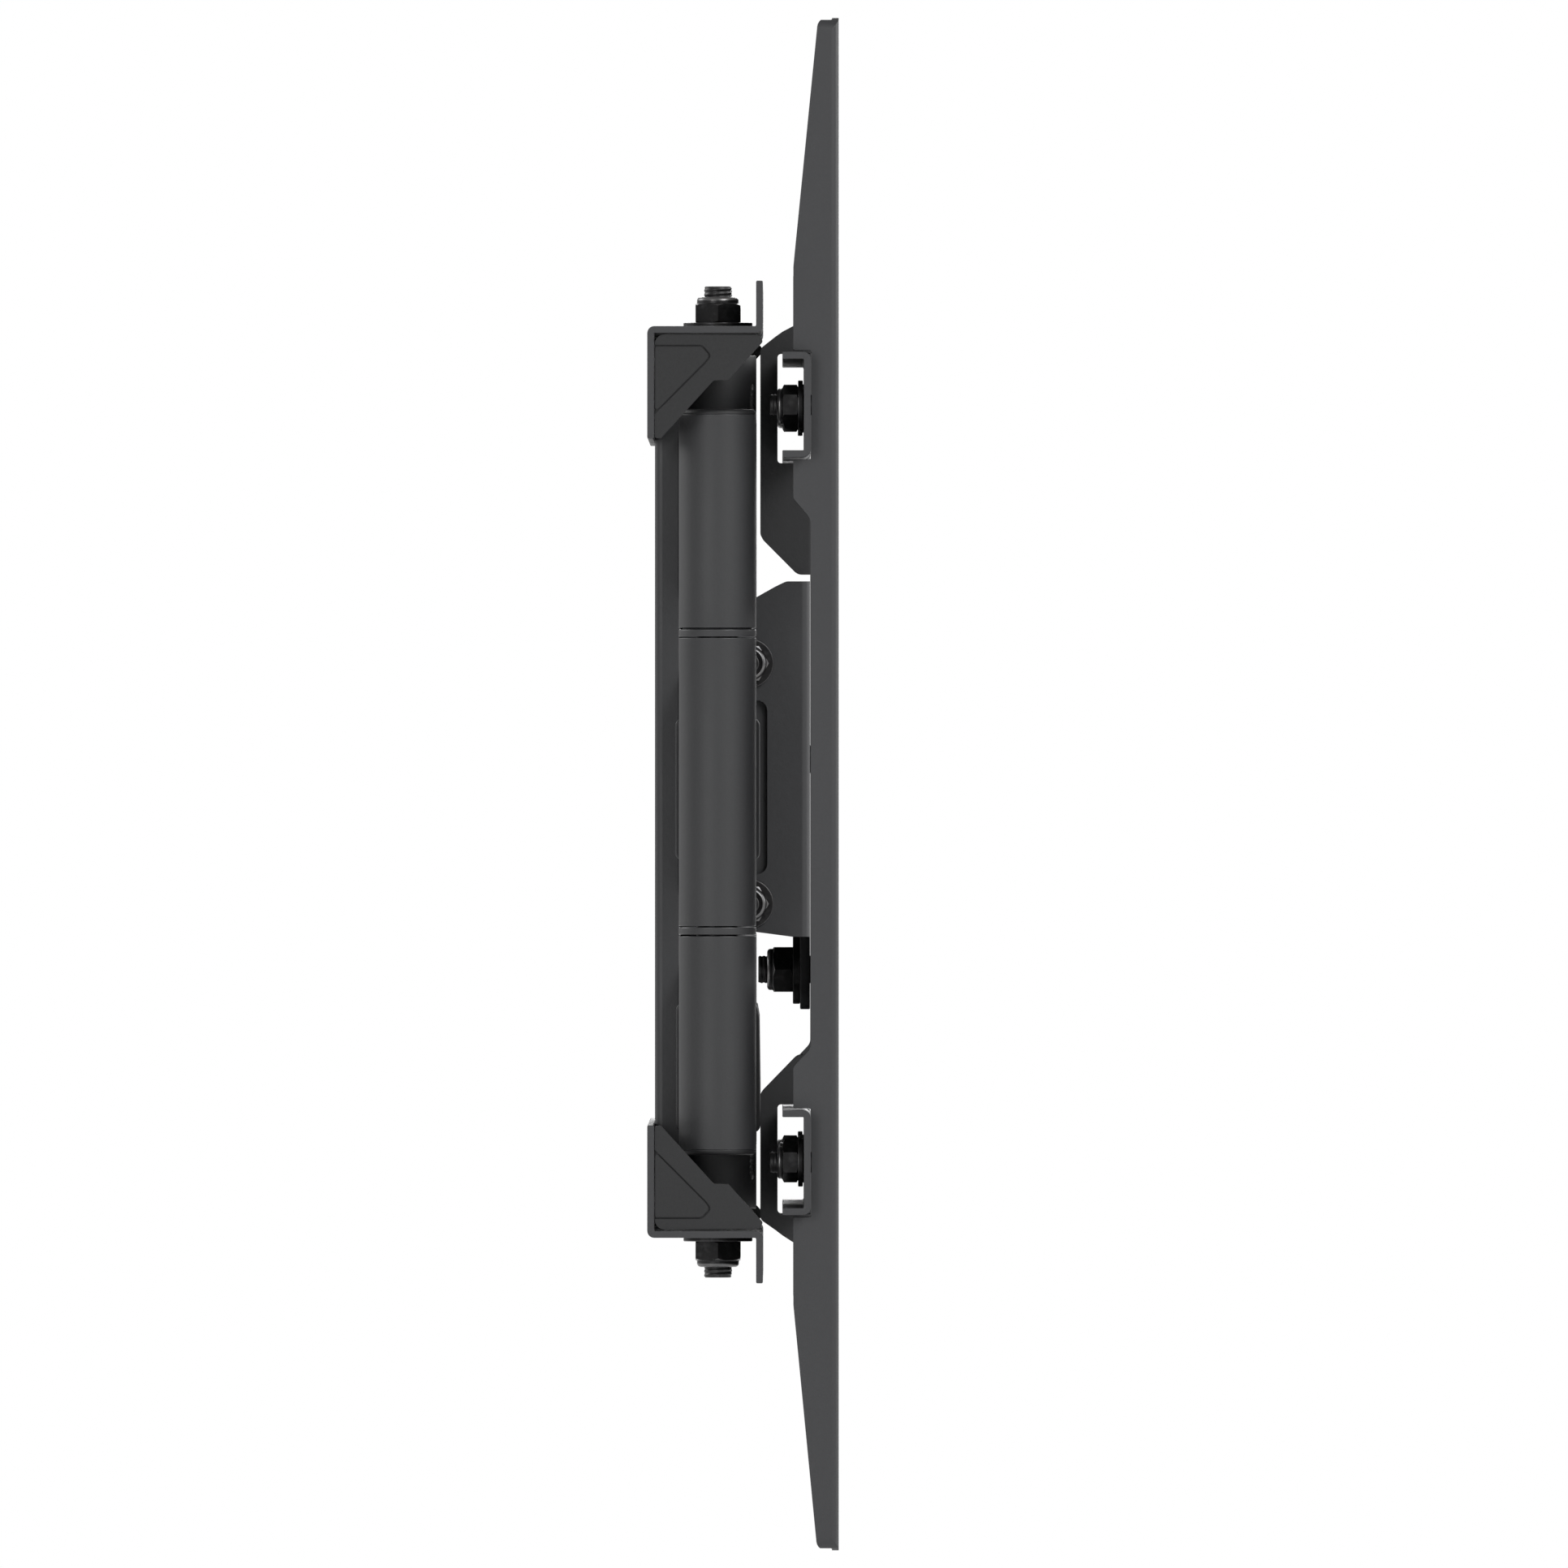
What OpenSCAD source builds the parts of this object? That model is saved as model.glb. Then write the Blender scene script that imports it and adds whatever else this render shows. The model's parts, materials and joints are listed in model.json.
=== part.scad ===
/* [Wall plate] */
// Length of the top and bottom rails
rail_len = 450; // [448:1:456]
// Thickness of the rail sheet
rail_t = 1.95; // [1.8:0.05:2]
// Height of each rail's shelf above the middle
rail_z = 130.85; // [130.7:0.05:131.1]
// How far each shelf stands out from the wall
shelf_d = 33.2; // [32.8:0.1:33.4]
// Height of the lip at the front of each shelf
lip_h = 13.05; // [11:0.05:14]
// Spacing of the outer wall slots
stud_spacing = 406.4; // [400:0.2:407]
// Spacing of the inner wall slots
inner_stud_spacing = 304.8; // [300:0.2:310]
// End-to-end length of each wall slot
lag_slot_len = 24; // [14:1:24]
// Width of each vertical post
post_w = 40; // [38:1:42]

/* [Arms] */
// Distance of each pivot from the middle of the mount
pivot_x = 58; // [57.5:0.5:60]
// Depth of the pivot line in front of the wall
pivot_d = 20.16; // [20.1:0.02:20.3]
// Pivot-to-pivot length of each arm
arm_len = 148; // [142:1:150]
// Outside radius of the pivot barrels
barrel_r = 11.1; // [10.8:0.1:11.1]
// Front-to-back thickness of the arm boxes
arm_thick = 20; // [18:0.5:20]
// Wall thickness of the arm boxes
arm_wall = 2; // [1.6:0.1:2.4]
// Width of each cable clip along its arm
clip_w = 28; // [20:1:34]

/* [TV side] */
// Length of the two cross channels
channel_len = 440; // [436:1:442]
// Distance of each screen bracket from the middle
bracket_x = 200; // [196:0.5:202]
// Width of each screen bracket
bracket_w = 30; // [28:0.5:32]
// Radius of the screen bolt holes
vesa_hole_r = 4.2; // [3.2:0.1:4.4]
// Width of the centre plate
centre_w = 60; // [56:0.5:60]
// Inside width of the tilt yoke
yoke_in_w = 66.4; // [66.2:0.1:66.6]

/* [Hidden] */
$fn = 48;

// Wall side
elbow_x = pivot_x + arm_len;
lag_z = 113;
post_front = 8.97;
ear_z = 41.8;           // mid ears, lower face
ear_t = 2;
arm_bot = 44.3;         // inner arm barrels, end nearest the middle
arm_top_wall = 123.4;   // barrel top at the wall
arm_top_elbow = 107.1;  // barrel top with its cap at the elbow
cap_h = 1.5;
elbow_pin_r = 6;
m8_r = 4;
m6_r = 3;
run = 0.06;             // radial running clearance
loose = 0.35;           // radial clearance at the opened pivot
// Arm boxes
arm_d0 = pivot_d - arm_thick / 2;
arm_d1 = pivot_d + arm_thick / 2;
body_lo = 66;
body_hi = 94;
waist = 15.5;
outer_end_z = 41.4;
outer_head_z = 38.4;
clip_u = arm_len / 2;
// Bridge and tilt
bridge_z = 38.8;
bridge_t = 2.1;
bridge_half = yoke_in_w / 2 - 0.3;
bridge_back = 11.07;
tilt_d = 29.13;
tilt_z = -35.3;
tilt_top_z = 34.4;
yoke_t = 2.1;
yoke_half = yoke_in_w / 2 + yoke_t;
yoke_front = 46.8;
yoke_back = 23.9;
level_z = 6.6;
lock_z = -54.4;
tongue_r = 11.55;
// TV side
web_d = 46.96;          // front face of the channel webs
plate_d = 48.8;         // front face of the centre plate
face_d = 55;            // face the screen bolts to
sheet = 1.95;
up_z = 108.4;
low_z = -109.3;
tv_z = -0.58;
slot_in = 96;
slot_out = 206;
paint = "#3b3c3f";
plastic = "#2c2d2f";
dark = "#232426";

// ---------- helpers ----------
function unit(v) = v / norm(v);
// Points that round one corner [x, y, radius] between its neighbours
function corner(a, b, c, n) =
  (len(b) < 3 || b[2] <= 0) ? [[b[0], b[1]]] :
  let (p = [b[0], b[1]], u = unit([a[0], a[1]] - p), v = unit([c[0], c[1]] - p),
       h = acos(u * v) / 2, m = p + unit(u + v) * b[2] / sin(h),
       s = p + u * b[2] / tan(h) - m, e = p + v * b[2] / tan(h) - m,
       a0 = atan2(s[1], s[0]), a1 = atan2(e[1], e[0]), da = (a1 - a0 + 540) % 360 - 180)
  [for (i = [0:n]) m + b[2] * [cos(a0 + da * i / n), sin(a0 + da * i / n)]];
function rounded(p, n = 5) = [for (i = [0:len(p) - 1]) each corner(p[(i + len(p) - 1) % len(p)], p[i], p[(i + 1) % len(p)], n)];
// Outline of a curved slot of half width w about [cx, cy], from angle a0 to a1
function arc_slot(cx, cy, r, a0, a1, w, n = 12) = concat(
  [for (i = [0:n]) let (a = a0 + (a1 - a0) * i / n) [cx + (r + w) * cos(a), cy + (r + w) * sin(a)]],
  [for (i = [1:8]) let (b = a1 + 180 * i / 9) [cx + r * cos(a1) + w * cos(b), cy + r * sin(a1) + w * sin(b)]],
  [for (i = [0:n]) let (a = a1 + (a0 - a1) * i / n) [cx + (r - w) * cos(a), cy + (r - w) * sin(a)]],
  [for (i = [1:8]) let (b = a0 + 180 + 180 * i / 9) [cx + r * cos(a0) + w * cos(b), cy + r * sin(a0) + w * sin(b)]]);
function flip_z(p) = [for (q = p) [q[0], -q[1], q[2]]];

// Outlines drawn as [depth from the wall, height], pulled out along X
module side(x0, x1) translate([max(x0, x1), 0, 0]) rotate([90, 0, -90]) linear_extrude(abs(x1 - x0)) children();
// Outlines drawn as [x, height], pulled out from depth d0 to d1
module front(d0, d1) translate([0, -d0, 0]) rotate([90, 0, 0]) linear_extrude(d1 - d0) children();
// Outlines drawn as [x, -depth], pulled up from z0 to z1
module plan(z0, z1) translate([0, 0, z0]) linear_extrude(z1 - z0) children();
// Places something drawn along +Z so that it points away from the wall, or to it
module outward(x, d, z) translate([x, -d, z]) rotate([90, 0, 0]) children();
module inward(x, d, z) translate([x, -d, z]) rotate([-90, 0, 0]) children();
module slot2d(len, r) { square([len - 2 * r, 2 * r], center = true); for (s = [-1, 1]) translate([s * (len / 2 - r), 0]) circle(r); }
module ring(r_out, r_in, h) difference() { cylinder(r = r_out, h = h); translate([0, 0, -1]) cylinder(r = r_in, h = h + 2); }
// Lock nut with its nylon collar, drawn up from its bearing face
module lock_nut(af, h, bore, collar_r, collar_h, turn = 0) difference() {
  union() {
    rotate(turn) cylinder(r = af / 2 / cos(30), h = h, $fn = 6);
    translate([0, 0, h - 0.2]) cylinder(r = collar_r, h = collar_h + 0.2);
  }
  translate([0, 0, -1]) cylinder(r = bore, h = h + collar_h + 2);
}

// ---------- wall plate ----------
module rail() color(paint) difference() {
  side(-rail_len / 2, rail_len / 2) polygon(rounded([
    [0, 98.6, 0.4], [0, rail_z, 2], [shelf_d - rail_t, rail_z, 0.4], [shelf_d - rail_t, rail_z + lip_h, 0.4],
    [shelf_d, rail_z + lip_h, 0.4], [shelf_d, rail_z - rail_t, 2], [rail_t, rail_z - rail_t, 0.3], [rail_t, 98.6, 0.4]]));
  // slots for the lag screws
  for (s = [-1, 1]) {
    front(-1, 4) translate([s * stud_spacing / 2, lag_z]) slot2d(lag_slot_len, 4.5);
    front(-1, 4) translate([s * inner_stud_spacing / 2, lag_z]) slot2d(lag_slot_len, 4.5);
    translate([s * pivot_x, -pivot_d, 120]) cylinder(r = m8_r, h = 20);
  }
  // relief for the tilting centre plate
  plan(120, 150) polygon(rounded([[-46, -45], [-44, -24.5, 4], [44, -24.5, 4], [46, -45]]));
}
module top_rail() rail();
module bottom_rail() mirror([0, 0, 1]) rail();
module post() color(paint) plan(-128.3, 128.3) translate([pivot_x, 0]) polygon(rounded([
  [-post_w / 2, -post_front, 0.4], [-post_w / 2, -rail_t, 2.3], [post_w / 2, -rail_t, 2.3], [post_w / 2, -post_front, 0.4],
  [post_w / 2 - rail_t, -post_front, 0.4], [post_w / 2 - rail_t, -2 * rail_t, 0.5],
  [-post_w / 2 + rail_t, -2 * rail_t, 0.5], [-post_w / 2 + rail_t, -post_front, 0.4]]));
module right_post() post();
module left_post() mirror([1, 0, 0]) post();
cap_outline = [[2.17, 98.7, 0.6], [2.17, 128.5, 2.8], [32.3, 128.25, 1.2], [33.25, 126.4, 0.8],
  [23.3, 115.4, 1], [19.1, 115.3, 1.2], [4, 98.7, 0.8]];
module end_cap() color(plastic) {
  x = rail_len / 2;
  difference() {
    side(x - 3.8, x - 0.7) polygon(rounded(cap_outline));
    // shallow groove round the panel
    side(x - 1.2, x) polygon(rounded([[1.5, 104.9], [1.5, 125.45], [15.9, 125.45, 1.8], [18.6, 122.4, 1.5], [16.7, 120.1, 1]]));
  }
  // raised triangular panel
  side(x - 1.3, x - 0.25) polygon(rounded([[2.3, 106.3, 0.5], [2.3, 124.9, 0.5], [15.6, 124.9, 1.6], [17.9, 122.4, 1.2], [16.3, 120.4, 1]]));
  // ribs that push into the rail
  side(x - 9, x - 3.6) polygon([[3.2, 126.2], [3.2, 127.9], [30.4, 127.7], [30.4, 126.1]]);
  side(x - 9, x - 3.6) polygon([[2.3, 101], [2.3, 124.6], [3.7, 124.6], [3.7, 101]]);
}
module right_end_caps() for (s = [0, 1]) mirror([0, 0, s]) end_cap();
module left_end_caps() mirror([1, 0, 0]) right_end_caps();
module pivot_ear() color(paint) difference() {
  plan(ear_z, ear_z + ear_t) union() {
    polygon([[pivot_x - post_w / 2 + rail_t, -2 * rail_t], [pivot_x + post_w / 2 - rail_t, -2 * rail_t],
      [pivot_x + post_w / 2 - rail_t, -9], [pivot_x + 10.6, -pivot_d - 1.6], [pivot_x - 10.6, -pivot_d - 1.6], [pivot_x - post_w / 2 + rail_t, -9]]);
    translate([pivot_x, -pivot_d]) circle(10.8);
  }
  translate([pivot_x, -pivot_d, 30]) cylinder(r = m8_r, h = 30);
}
module four() for (a = [0, 1], b = [0, 1]) mirror([a, 0, 0]) mirror([0, 0, b]) children();
module wall_pivot_ears() four() pivot_ear();
module wall_pivot_bolts() color(dark) four() translate([pivot_x, -pivot_d, ear_z]) cylinder(r = m8_r, h = 143.4 - ear_z);
module wall_pivot_washers() color(dark) four() translate([pivot_x, -pivot_d, rail_z]) ring(10, m8_r, 2.1);
module wall_pivot_nuts() color(dark) four() translate([pivot_x, -pivot_d, rail_z + 2.1]) lock_nut(13, 5.4, m8_r, 6.05, 2);
module wall_pivot_bushes() color("#8a8a86") four() translate([pivot_x, -pivot_d, 123.75]) ring(8, m8_r, rail_z - rail_t - 123.75);

// ---------- arms, drawn on the right-hand side ----------
// u runs from the wall pivot to the elbow
inner_out = [[0, 104], [14, 104, 8], [40, body_hi, 16], [112, body_hi, 16], [132, 102, 10], [arm_len, 102],
  [arm_len, 50], [132, 50, 8], [110, body_lo, 16], [40, body_lo, 16], [16, 50, 8], [0, 50]];
inner_in = [[-8, 104 - arm_wall], [13.2, 104 - arm_wall, 7], [39.2, body_hi - arm_wall, 16], [112.3, body_hi - arm_wall, 16],
  [132.3, 102 - arm_wall, 9], [arm_len + 8, 102 - arm_wall], [arm_len + 8, 50 + arm_wall], [132.6, 50 + arm_wall, 7],
  [110.6, body_lo + arm_wall, 16], [39.4, body_lo + arm_wall, 16], [15.4, 50 + arm_wall, 7], [-8, 50 + arm_wall]];
module inner_arm() color(paint) translate([pivot_x, 0, 0]) difference() {
  front(arm_d0, arm_d1) polygon(rounded(inner_out));
  front(arm_d0 + arm_wall, arm_d1 - arm_wall) polygon(rounded(inner_in));
  for (u = [0, arm_len]) translate([u, -pivot_d, 0]) cylinder(r = barrel_r, h = 200);
}
module inner_barrels() color(paint) for (s = [0, 1]) mirror([0, 0, s]) {
  difference() {
    translate([pivot_x, -pivot_d, arm_bot]) cylinder(r = barrel_r, h = arm_top_wall - arm_bot);
    translate([pivot_x, -pivot_d, 0]) cylinder(r = m8_r + run, h = 200);
  }
  difference() {
    translate([elbow_x, -pivot_d, arm_bot]) cylinder(r = barrel_r, h = arm_top_elbow - cap_h - arm_bot);
    translate([elbow_x, -pivot_d, 0]) cylinder(r = elbow_pin_r, h = 200);
    translate([elbow_x, -pivot_d, 98]) cylinder(r = 8.6, h = 20);
  }
}
module elbow_pin() color(dark) translate([elbow_x, -pivot_d, 0]) {
  translate([0, 0, -98]) cylinder(r = elbow_pin_r, h = 196);
  translate([0, 0, 98]) cylinder(r = 7.5, h = 5.3, $fn = 6);
  translate([0, 0, -103.9]) cylinder(r = m8_r, h = 6);
}
module elbow_nut() color(dark) translate([elbow_x, -pivot_d, -103.6]) difference() {
  cylinder(r = 7.5, h = 5.6, $fn = 6);
  translate([0, 0, -1]) cylinder(r = m8_r, h = 8);
}
// Domed plastic cap over each end of the elbow
module elbow_caps() color(plastic) for (s = [0, 1]) mirror([0, 0, s]) translate([elbow_x, -pivot_d, 0]) {
  rotate_extrude() polygon(rounded([[0, 104.2], [0, arm_top_elbow], [barrel_r, arm_top_elbow, 1.2], [barrel_r, arm_top_elbow - cap_h],
    [8.5, arm_top_elbow - cap_h], [8.5, 104.2]]));
}
module elbow_spacers() color(paint) translate([elbow_x, -pivot_d, 0]) {
  translate([0, 0, 41.75]) ring(barrel_r, elbow_pin_r, 2.05);
  translate([0, 0, 43.7]) ring(10, elbow_pin_r, 0.6);
  translate([0, 0, -43.85]) ring(barrel_r, elbow_pin_r, 2.1);
}
// Cable clip round the lower inner arm; its space for the cables is under the arm
module lower_clip() color(plastic) difference() {
  side(pivot_x + clip_u - clip_w / 2, pivot_x + clip_u + clip_w / 2) polygon(rounded([
    [8.2, -101, 2], [8.2, -64, 1.6], [31.5, -64, 1.2], [32.2, -68], [32.45, -88], [32.45, -101, 2]]));
  side(pivot_x, elbow_x) polygon(rounded([[arm_d0, -body_lo], [arm_d0, -body_hi], [arm_d0 + 2, -body_hi], [arm_d0 + 2, -99, 1.5],
    [arm_d1 - 2, -99, 1.5], [arm_d1 - 2, -body_hi], [arm_d1, -body_hi], [arm_d1, -body_lo]]));
  side(pivot_x, elbow_x) translate([pivot_d - 3.2, -103]) square([6.4, 6]);
}
// u runs from the elbow to the bridge
outer_out = [[0, 38], [14, 38, 8], [42, waist, 18], [106, waist, 18], [130, 34, 8], [arm_len, 34],
  [arm_len, -34], [130, -34, 8], [106, -waist, 18], [42, -waist, 18], [14, -38, 8], [0, -38]];
outer_in = [[-8, 36], [13.3, 36, 7], [41.3, waist - arm_wall, 18], [106.7, waist - arm_wall, 18], [130.7, 32, 7], [arm_len + 8, 32],
  [arm_len + 8, -32], [130.7, -32, 7], [106.7, arm_wall - waist, 18], [41.3, arm_wall - waist, 18], [13.3, -36, 7], [-8, -36]];
module outer_arm() color(paint) difference() {
  translate([elbow_x, 0, 0]) mirror([1, 0, 0]) front(arm_d0, arm_d1) polygon(rounded(outer_out));
  translate([elbow_x, 0, 0]) mirror([1, 0, 0]) front(arm_d0 + arm_wall, arm_d1 - arm_wall) polygon(rounded(outer_in));
  for (x = [pivot_x, elbow_x]) translate([x, -pivot_d, -100]) cylinder(r = barrel_r, h = 200);
}
module outer_barrels(clear) color(paint) {
  translate([elbow_x, -pivot_d, -outer_end_z]) ring(barrel_r, elbow_pin_r + run, 2 * outer_end_z);
  translate([pivot_x, -pivot_d, -outer_head_z]) ring(barrel_r, m8_r + clear, 2 * outer_head_z);
}
module outer_clip() color(plastic) difference() {
  side(pivot_x + clip_u - clip_w / 2, pivot_x + clip_u + clip_w / 2) polygon(rounded([[8, -22.5, 2], [8, 18.3, 2], [32.3, 18.3, 2], [32.3, -22.5, 2]]));
  side(pivot_x, elbow_x) polygon(rounded([[arm_d0, waist], [arm_d0, -waist], [arm_d0 + 2, -waist], [arm_d0 + 2, -20.5, 1.5],
    [arm_d1 - 2, -20.5, 1.5], [arm_d1 - 2, -waist], [arm_d1, -waist], [arm_d1, waist]]));
  side(pivot_x, elbow_x) translate([pivot_d - 3.2, -25]) square([6.4, 6]);
}
module right_upper_arm() inner_arm();
module right_lower_arm() mirror([0, 0, 1]) inner_arm();
module right_inner_barrels() inner_barrels();
module right_elbow_pin() elbow_pin();
module right_elbow_nut() elbow_nut();
module right_elbow_caps() elbow_caps();
module right_elbow_spacers() elbow_spacers();
module right_lower_cable_clip() lower_clip();
module right_outer_arm() outer_arm();
module right_outer_barrels() outer_barrels(loose);
module right_outer_cable_clip() outer_clip();
module left_upper_arm() mirror([1, 0, 0]) inner_arm();
module left_lower_arm() mirror([1, 0, 0]) mirror([0, 0, 1]) inner_arm();
module left_inner_barrels() mirror([1, 0, 0]) inner_barrels();
module left_elbow_pin() mirror([1, 0, 0]) elbow_pin();
module left_elbow_nut() mirror([1, 0, 0]) elbow_nut();
module left_elbow_caps() mirror([1, 0, 0]) elbow_caps();
module left_elbow_spacers() mirror([1, 0, 0]) elbow_spacers();
module left_lower_cable_clip() mirror([1, 0, 0]) lower_clip();
module left_outer_arm() mirror([1, 0, 0]) outer_arm();
module left_outer_barrels() mirror([1, 0, 0]) outer_barrels(run);
module left_outer_cable_clip() mirror([1, 0, 0]) outer_clip();

// ---------- bridge between the arms ----------
module ear_plate() color(paint) difference() {
  plan(bridge_z, bridge_z + bridge_t) {
    polygon(rounded([[-pivot_x, -9.4, 2], [-pivot_x, -pivot_d], [-46.5, -pivot_d], [-44, -19.7, 1], [44, -19.7, 1], [46.5, -pivot_d], [pivot_x, -pivot_d], [pivot_x, -9.4, 2]]));
    for (s = [-1, 1]) translate([s * pivot_x, -pivot_d]) circle(10.76);
  }
  for (s = [-1, 1]) translate([s * pivot_x, -pivot_d, 30]) cylinder(r = m8_r, h = 30);
}
module bridge_ear_plates() for (s = [0, 1]) mirror([0, 0, s]) ear_plate();
module bridge_channel() color(paint) difference() {
  intersection() {
    plan(-bridge_z, bridge_z) polygon(rounded([
      [-bridge_half, -60], [-bridge_half, -bridge_back, 2.4], [bridge_half, -bridge_back, 2.4], [bridge_half, -60],
      [bridge_half - 2, -60], [bridge_half - 2, -bridge_back - 2, 0.5], [-bridge_half + 2, -bridge_back - 2, 0.5], [-bridge_half + 2, -60]]));
    side(-40, 40) polygon(rounded([[bridge_back - 1, -bridge_z], [bridge_back - 1, bridge_z], [41, bridge_z, 3], [41, 29, 2],
      [36.5, 24, 3], [36.5, -bridge_z, 3]]));
  }
  side(-40, 40) translate([tilt_d, tilt_z]) circle(m6_r + run);
  side(-40, 40) polygon(arc_slot(tilt_d, tilt_z, tilt_top_z - tilt_z, 85.6, 92.2, m6_r + 0.35));
  // weight-saving window in the back of the channel
  front(5, 20) polygon(rounded([[-20, -24, 4], [-20, 24, 4], [20, 24, 4], [20, -24, 4]]));
}
module bridge_pivot_pins() color(dark) for (s = [-1, 1]) translate([s * pivot_x, -pivot_d, -41.2]) cylinder(r = m8_r, h = 82.4);

// ---------- tilt yoke and level lock ----------
module tilt_yoke() color(paint) difference() {
  intersection() {
    plan(-44.86, 58.15) polygon(rounded([
      [-yoke_half, -10], [-yoke_half, -yoke_front, 2.5], [yoke_half, -yoke_front, 2.5], [yoke_half, -10],
      [yoke_half - yoke_t, -10], [yoke_half - yoke_t, -yoke_front + yoke_t, 0.5], [-yoke_half + yoke_t, -yoke_front + yoke_t, 0.5], [-yoke_half + yoke_t, -10]]));
    side(-40, 40) polygon(rounded([[yoke_back, 49.4, 2], [36.7, 56.6, 3], [39.9, 58.15, 3], [50, 58.15], [50, -44.86],
      [41.8, -44.86, 3], [31.1, -43.46], [yoke_back, -42.5, 3]]));
  }
  for (z = [tilt_z, tilt_top_z]) side(-40, 40) translate([tilt_d, z]) circle(m6_r);
  // sight slot through both cheeks
  side(-40, 40) polygon(rounded([[27.6, 23.65, 3], [34.4, 23.65, 3], [34.4, -26.7, 3], [27.6, -26.7, 3]]));
  front(40, 50) translate([0, level_z]) circle(m8_r);
  // notch that holds the tongue
  front(40, 50) polygon([[-tongue_r, -50], [-tongue_r, -24.9], [tongue_r, -24.9], [tongue_r, -50]]);
}
module level_tongue() color(paint) difference() {
  front(43.93, web_d - 0.16) polygon(rounded([[-tongue_r, lock_z - tongue_r, tongue_r - 0.01], [-tongue_r, -24.9], [tongue_r, -24.9], [tongue_r, lock_z - tongue_r, tongue_r - 0.01]], 12));
  front(40, 50) translate([0, lock_z]) circle(m8_r);
}
// The nut side of each level bolt stands at depth d
module level_pair() { inward(0, 43.93, lock_z) children(); inward(0, yoke_front - yoke_t, level_z) children(); }
module level_washers() color(dark) level_pair() ring(10, m8_r, 2.1);
module level_nuts() color(dark) level_pair() translate([0, 0, 2.1]) lock_nut(13, 5.6, m8_r, 6, 1.85);
module level_bolts() color(dark) {
  for (p = [[31.8, lock_z], [32.6, level_z]]) {
    outward(0, p[0], p[1]) cylinder(r = m8_r, h = 49.15 - p[0]);
    outward(0, 49.1, p[1]) rotate_extrude() polygon(rounded([[0, 0], [9, 0], [9, 1.2, 0.8], [5.5, 2.8, 3], [0, 2.8]]));
  }
}
module tilt_places() for (z = [tilt_z, tilt_top_z]) translate([0, -tilt_d, z]) children();
module tilt_bolts() color(dark) tilt_places() {
  translate([-43.4, 0, 0]) rotate([0, 90, 0]) cylinder(r = m6_r, h = 43.4 + yoke_half + 1.6);
  translate([yoke_half + 1.5, 0, 0]) rotate([0, 90, 0]) rotate(90) cylinder(r = 5.77, h = 4, $fn = 6);
}
module tilt_washers() color(dark) tilt_places() {
  translate([yoke_half, 0, 0]) rotate([0, 90, 0]) ring(7.13, m6_r, 1.5);
  translate([-yoke_half - 1.5, 0, 0]) rotate([0, 90, 0]) ring(7.13, m6_r, 1.5);
}
module tilt_nuts() color(dark) tilt_places() translate([-yoke_half - 1.5, 0, 0]) rotate([0, -90, 0]) lock_nut(10, 4.6, m6_r, 4.7, 1.3, 90);

// ---------- screen side ----------
module centre_plate() color(paint) difference() {
  c = centre_w / 2;
  intersection() {
    plan(-133.9, 132.6) polygon(rounded([
      [-c, -20], [-c, -plate_d, 2.4], [c, -plate_d, 2.4], [c, -20],
      [c - 1.9, -20], [c - 1.9, -web_d, 0.5], [-c + 1.9, -web_d, 0.5], [-c + 1.9, -20]]));
    union() {
      side(-60, 60) translate([web_d - 0.01, -134]) square([10, 267]);
      side(-60, 60) polygon(rounded([[32.4, 71.9, 2], [32.4, 125.6, 2], [36.7, 129], [38.8, 130.5], [42.2, 132.3, 3], [48.8, 132.6], [48.8, 60.25], [43.2, 60.25, 3], [33.2, 70.3, 3]]));
      side(-60, 60) polygon(rounded([[32.4, -90.6, 2], [33.2, -89.4, 3], [43.2, -79.1, 3], [48.8, -79.1], [48.8, -133.9], [42.2, -133.6, 3], [38.8, -131.4], [36.7, -129.8], [32.4, -126.8, 2]]));
    }
  }
  // windows for the cross channels
  side(-60, 60) polygon(rounded([[37.4, 92.4, 1], [37.4, 124.4, 1], [web_d, 124.4], [web_d, 92.4]]));
  side(-60, 60) polygon(rounded([[37.4, -93.45, 1], [37.4, -125.3, 1], [web_d, -125.3], [web_d, -93.45]]));
  for (s = [-1, 1], z = [up_z, low_z]) front(40, 60) translate([s * 16, z]) circle(m6_r);
  front(40, 60) translate([0, level_z]) circle(m8_r + run);
  front(40, 60) polygon(arc_slot(0, level_z, level_z - lock_z, 266.5, 273.5, m8_r + 0.35));
  // lightening holes in the web
  front(40, 60) translate([0, 82]) circle(9);
  front(40, 60) translate([0, -84]) circle(7);
}
module tv_channel(zc, h) color(paint) difference() {
  side(-channel_len / 2, channel_len / 2) translate([0, zc]) polygon(rounded([
    [38.8, h / 2, 0.3], [web_d, h / 2, 2.2], [web_d, -h / 2, 2.2], [38.8, -h / 2, 0.3], [38.8, -h / 2 + sheet, 0.3],
    [web_d - sheet, -h / 2 + sheet, 0.4], [web_d - sheet, h / 2 - sheet, 0.4], [38.8, h / 2 - sheet, 0.3]]));
  for (s = [-1, 1]) {
    front(40, 50) translate([s * 16, zc]) circle(m6_r);
    front(40, 50) translate([s * (slot_in + slot_out) / 2, zc]) slot2d(slot_out - slot_in + 6.7, 3.35);
  }
}
module upper_tv_channel() tv_channel(up_z, 30.2);
module lower_tv_channel() tv_channel(low_z, 30.05);
module centre_places() for (s = [-1, 1], z = [up_z, low_z]) translate([s * 16, 0, z]) children();
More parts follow.
